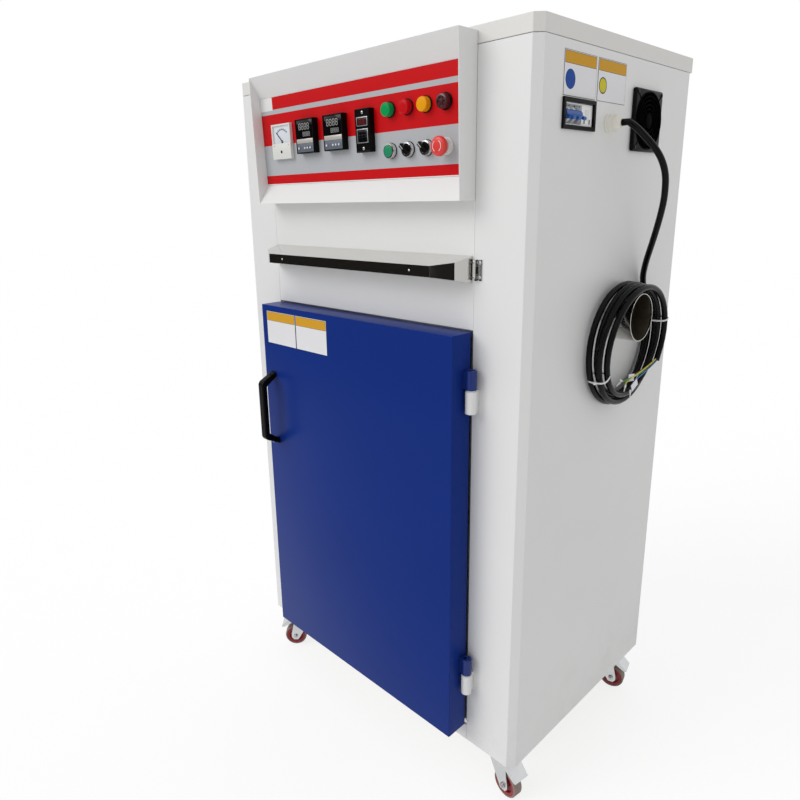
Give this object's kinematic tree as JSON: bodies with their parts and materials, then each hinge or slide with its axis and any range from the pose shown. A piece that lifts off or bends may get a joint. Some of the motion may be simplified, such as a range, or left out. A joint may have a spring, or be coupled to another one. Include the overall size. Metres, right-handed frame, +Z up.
{
  "type": "laboratory oven",
  "caption": "White cabinet oven on braked swivel casters with a blue hinged door, leaning red control box, polished rail, side exhaust pipe and coiled supply cord.",
  "frame": {"origin": "on the floor, under the centre of the bounding box of the whole without its cord", "axes": "+Z up; -Y out of the front, where the door is; +X to the right of someone facing the door, towards the side with the exhaust pipe"},
  "size_m": [0.9941, 0.719, 1.6545],
  "materials": {
    "white_paint": "satin powder coat",
    "blue_paint": "gloss coat over the door",
    "stainless": "fine brushed",
    "mirror_steel": "polished",
    "zinc": "bright zinc plate",
    "galvanised": "galvanised",
    "dark_steel": "oxidised sheath",
    "motor_grey": "satin",
    "silicone": "matt",
    "wool": "fibrous",
    "label_red": "printed label film over sheet steel",
    "black_plastic": "satin",
    "white_plastic": "satin",
    "nylon": "satin",
    "lamp_green": "gloss lens",
    "lamp_red": "gloss lens",
    "lamp_yellow": "gloss lens",
    "buzzer_red": "satin",
    "button_green": "satin",
    "stop_red": "satin",
    "toggle_blue": "satin",
    "cord_rubber": "satin sheath",
    "wheel_red": "worn"
  },
  "bodies": {
    "cabinet": {"base_frame": "white_paint", "left_side_panel": "white_paint", "right_side_panel": "white_paint", "rear_panel": "white_paint", "top_cap": "white_paint", "upper_front_panel": "white_paint", "inner_liner": "stainless", "insulation": "wool", "door_gasket": "silicone", "air_baffle": "stainless", "blower_motor": "motor_grey", "heater_element": "dark_steel", "frame_knuckle_upper": "white_paint", "frame_knuckle_lower": "white_paint", "control_box": "white_paint", "control_fascia": "label_red", "ammeter": "white_plastic", "temperature_controller": "black_plastic", "limit_controller": "black_plastic", "cycle_timer": "black_plastic", "pilot_lamp_green": "lamp_green", "pilot_lamp_red": "lamp_red", "pilot_lamp_yellow": "lamp_yellow", "alarm_buzzer": "buzzer_red", "estop_base": "galvanised", "rail_hinge": "stainless", "exhaust_pipe": "stainless", "breaker_window": "black_plastic", "breaker_body": "white_plastic", "fan_housing": "black_plastic", "cable_gland": "nylon", "cord_run": "cord_rubber", "cord_coil": "cord_rubber"},
    "door": {"door_shell": "blue_paint", "door_inner_panel": "stainless", "door_handle": "black_plastic"},
    "rail": {"push_rail": "mirror_steel"},
    "tray_1": {"shelf_tray_1": "stainless"},
    "tray_2": {"shelf_tray_2": "stainless"},
    "tray_3": {"shelf_tray_3": "stainless"},
    "blower": {"blower_wheel": "galvanised"},
    "fan": {"fan_rotor": "black_plastic"},
    "needle": {"ammeter_needle": "black_plastic"},
    "start": {"start_button": "button_green"},
    "selector_left": {"selector_knob_left": "black_plastic"},
    "selector_right": {"selector_knob_right": "black_plastic"},
    "estop": {"estop_head": "stop_red"},
    "breaker": {"breaker_lever": "toggle_blue"},
    "fork_front_right": {"caster_fork_front_right": "zinc"},
    "wheel_front_right": {"caster_wheel_front_right": "wheel_red"},
    "pedal_front_right": {"brake_pedal_front_right": "zinc"},
    "fork_front_left": {"caster_fork_front_left": "zinc"},
    "wheel_front_left": {"caster_wheel_front_left": "wheel_red"},
    "pedal_front_left": {"brake_pedal_front_left": "zinc"},
    "fork_rear_right": {"caster_fork_rear_right": "zinc"},
    "wheel_rear_right": {"caster_wheel_rear_right": "wheel_red"},
    "pedal_rear_right": {"brake_pedal_rear_right": "zinc"},
    "fork_rear_left": {"caster_fork_rear_left": "zinc"},
    "wheel_rear_left": {"caster_wheel_rear_left": "wheel_red"},
    "pedal_rear_left": {"brake_pedal_rear_left": "zinc"}
  },
  "joints": [
    {"name": "door_swing", "type": "hinge", "parent": "cabinet", "child": "door", "pos_m": [0.3025, -0.2725, 0.6425], "axis": [0, 0, 1], "range_deg": [0, 115]},
    {"name": "rail_swing", "type": "hinge", "parent": "cabinet", "child": "rail", "pos_m": [0.2975, -0.257, 1.2285], "axis": [0, 0, 1], "range_deg": [0, 90]},
    {"name": "tray_1_slide", "type": "slide", "parent": "cabinet", "child": "tray_1", "axis": [0, -1, 0], "range_m": [0, 0.012]},
    {"name": "tray_2_slide", "type": "slide", "parent": "cabinet", "child": "tray_2", "axis": [0, -1, 0], "range_m": [0, 0.012]},
    {"name": "tray_3_slide", "type": "slide", "parent": "cabinet", "child": "tray_3", "axis": [0, -1, 0], "range_m": [0, 0.012]},
    {"name": "blower_spin", "type": "hinge", "parent": "cabinet", "child": "blower", "pos_m": [-0.1225, 0.0223, 1.129], "axis": [0, 0, 1], "continuous": true},
    {"name": "fan_spin", "type": "hinge", "parent": "cabinet", "child": "fan", "pos_m": [0.397, 0.142, 1.5085], "axis": [1, 0, 0], "continuous": true},
    {"name": "needle_turn", "type": "hinge", "parent": "cabinet", "child": "needle", "pos_m": [-0.2695, -0.27517, 1.499], "axis": [0, 0.9991, 0.0425], "range_deg": [0, 90], "stiffness_Nm_per_rad": 0.001},
    {"name": "start_press", "type": "slide", "parent": "cabinet", "child": "start", "axis": [0, 0.9991, 0.0425], "range_m": [0, 0.004], "stiffness_N_per_m": 400},
    {"name": "selector_left_turn", "type": "hinge", "parent": "cabinet", "child": "selector_left", "pos_m": [0.1401, -0.27334, 1.45604], "axis": [0, 0.9991, 0.0425], "range_deg": [0, 90]},
    {"name": "selector_right_turn", "type": "hinge", "parent": "cabinet", "child": "selector_right", "pos_m": [0.1887, -0.27334, 1.45604], "axis": [0, 0.9991, 0.0425], "range_deg": [0, 90]},
    {"name": "estop_press", "type": "slide", "parent": "cabinet", "child": "estop", "axis": [0, 0.9991, 0.0425], "range_m": [0, 0.005]},
    {"name": "breaker_throw", "type": "hinge", "parent": "cabinet", "child": "breaker", "pos_m": [0.4135, -0.1382, 1.5035], "axis": [0, -1, 0], "range_deg": [0, 50]},
    {"name": "swivel_front_right", "type": "hinge", "parent": "cabinet", "child": "fork_front_right", "pos_m": [0.3455, -0.1945, 0.125], "axis": [0, 0, 1], "continuous": true},
    {"name": "roll_front_right", "type": "hinge", "parent": "fork_front_right", "child": "wheel_front_right", "pos_m": [0.37323, -0.1984, 0.03259], "axis": [0.1392, 0.9903, 0], "continuous": true},
    {"name": "brake_front_right", "type": "hinge", "parent": "fork_front_right", "child": "pedal_front_right", "pos_m": [0.35738, -0.19617, 0.1], "axis": [0.1392, 0.9903, 0], "range_deg": [0, 10]},
    {"name": "swivel_front_left", "type": "hinge", "parent": "cabinet", "child": "fork_front_left", "pos_m": [-0.4105, -0.1945, 0.125], "axis": [0, 0, 1], "continuous": true},
    {"name": "roll_front_left", "type": "hinge", "parent": "fork_front_left", "child": "wheel_front_left", "pos_m": [-0.4303, -0.2143, 0.03259], "axis": [0.7071, -0.7071, 0], "continuous": true},
    {"name": "brake_front_left", "type": "hinge", "parent": "fork_front_left", "child": "pedal_front_left", "pos_m": [-0.41899, -0.20299, 0.1], "axis": [0.7071, -0.7071, 0], "range_deg": [0, 10]},
    {"name": "swivel_rear_right", "type": "hinge", "parent": "cabinet", "child": "fork_rear_right", "pos_m": [0.3455, 0.3025, 0.125], "axis": [0, 0, 1], "continuous": true},
    {"name": "roll_rear_right", "type": "hinge", "parent": "fork_rear_right", "child": "wheel_rear_right", "pos_m": [0.37267, 0.30927, 0.03259], "axis": [-0.2419, 0.9703, 0], "continuous": true},
    {"name": "brake_rear_right", "type": "hinge", "parent": "fork_rear_right", "child": "pedal_rear_right", "pos_m": [0.35714, 0.3054, 0.1], "axis": [-0.2419, 0.9703, 0], "range_deg": [0, 10]},
    {"name": "swivel_rear_left", "type": "hinge", "parent": "cabinet", "child": "fork_rear_left", "pos_m": [-0.4105, 0.3025, 0.125], "axis": [0, 0, 1], "continuous": true},
    {"name": "roll_rear_left", "type": "hinge", "parent": "fork_rear_left", "child": "wheel_rear_left", "pos_m": [-0.42233, 0.27712, 0.03259], "axis": [0.9063, -0.4226, 0], "continuous": true},
    {"name": "brake_rear_left", "type": "hinge", "parent": "fork_rear_left", "child": "pedal_rear_left", "pos_m": [-0.41557, 0.29162, 0.1], "axis": [0.9063, -0.4226, 0], "range_deg": [0, 10]}
  ]
}
